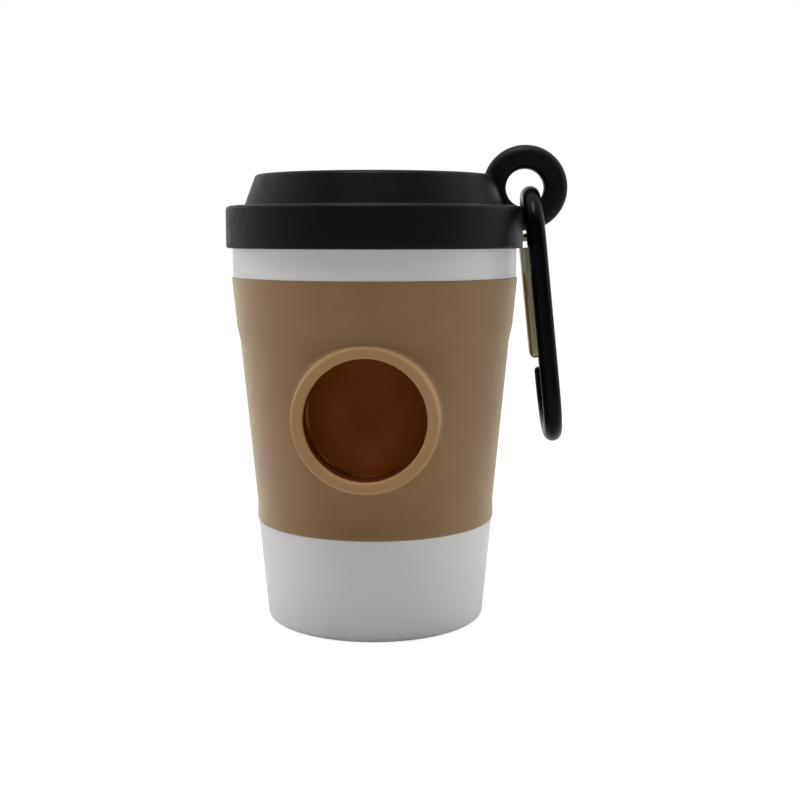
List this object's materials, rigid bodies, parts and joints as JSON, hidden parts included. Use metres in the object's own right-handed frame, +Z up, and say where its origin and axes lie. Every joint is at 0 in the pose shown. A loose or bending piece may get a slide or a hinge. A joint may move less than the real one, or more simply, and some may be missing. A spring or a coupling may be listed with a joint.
{
  "type": "dog waste bag dispenser",
  "caption": "Dog waste bag dispenser shaped like a takeaway coffee cup, with a sleeved body, a round bag window, a pull-off lid with a loop, and a hanging carabiner.",
  "frame": {"origin": "on the cup's axis, in the plane that the foot rests on", "axes": "+Z up along the cup's axis, -Y towards the bag window, +X towards the lid's loop and the carabiner"},
  "size_m": [0.0646, 0.0564, 0.0907],
  "materials": {
    "white_plastic": "satin white moulded plastic",
    "brown_silicone": "matte kraft-brown silicone rubber",
    "liner_silicone": "matte dark brown silicone rubber",
    "black_lid": "matte black moulded plastic",
    "black_anodised": "semi-gloss black anodised aluminium",
    "bright_steel": "bright nickel-plated steel",
    "spring_steel": "drawn spring steel",
    "bag_film": "soft dark brown polythene film",
    "cardboard": "raw cardboard"
  },
  "bodies": {
    "cup": {"cup_shell": "white_plastic", "sleeve": "brown_silicone", "inner_liner": "liner_silicone"},
    "lid_body": {"lid": "black_lid"},
    "carabiner": {"carabiner_hook": "black_anodised", "gate_rivet": "bright_steel", "gate_spring": "spring_steel"},
    "gate": {"carabiner_gate": "bright_steel"},
    "roll": {"bag_roll": "bag_film", "roll_core": "cardboard"}
  },
  "joints": [
    {"name": "lid_lift", "type": "slide", "parent": "cup", "child": "lid_body", "axis": [0, 0, 1], "range_m": [0, 0.06]},
    {"name": "carabiner_swing", "type": "hinge", "parent": "lid_body", "child": "carabiner", "pos_m": [0.02941, 0, 0.08134], "axis": [0, -1, 0], "range_deg": [0, 210]},
    {"name": "gate_open", "type": "hinge", "parent": "carabiner", "child": "gate", "pos_m": [0.03025, 0.01027, 0.07348], "axis": [-0.9943, 0, -0.1063], "range_deg": [0, 25], "stiffness_Nm_per_rad": 0.02, "springref_deg": -17.19, "deforming": ["gate_spring"]},
    {"name": "roll_spin", "type": "hinge", "parent": "cup", "child": "roll", "pos_m": [0, 0, 0.034], "axis": [0, 0, 1], "continuous": true}
  ]
}
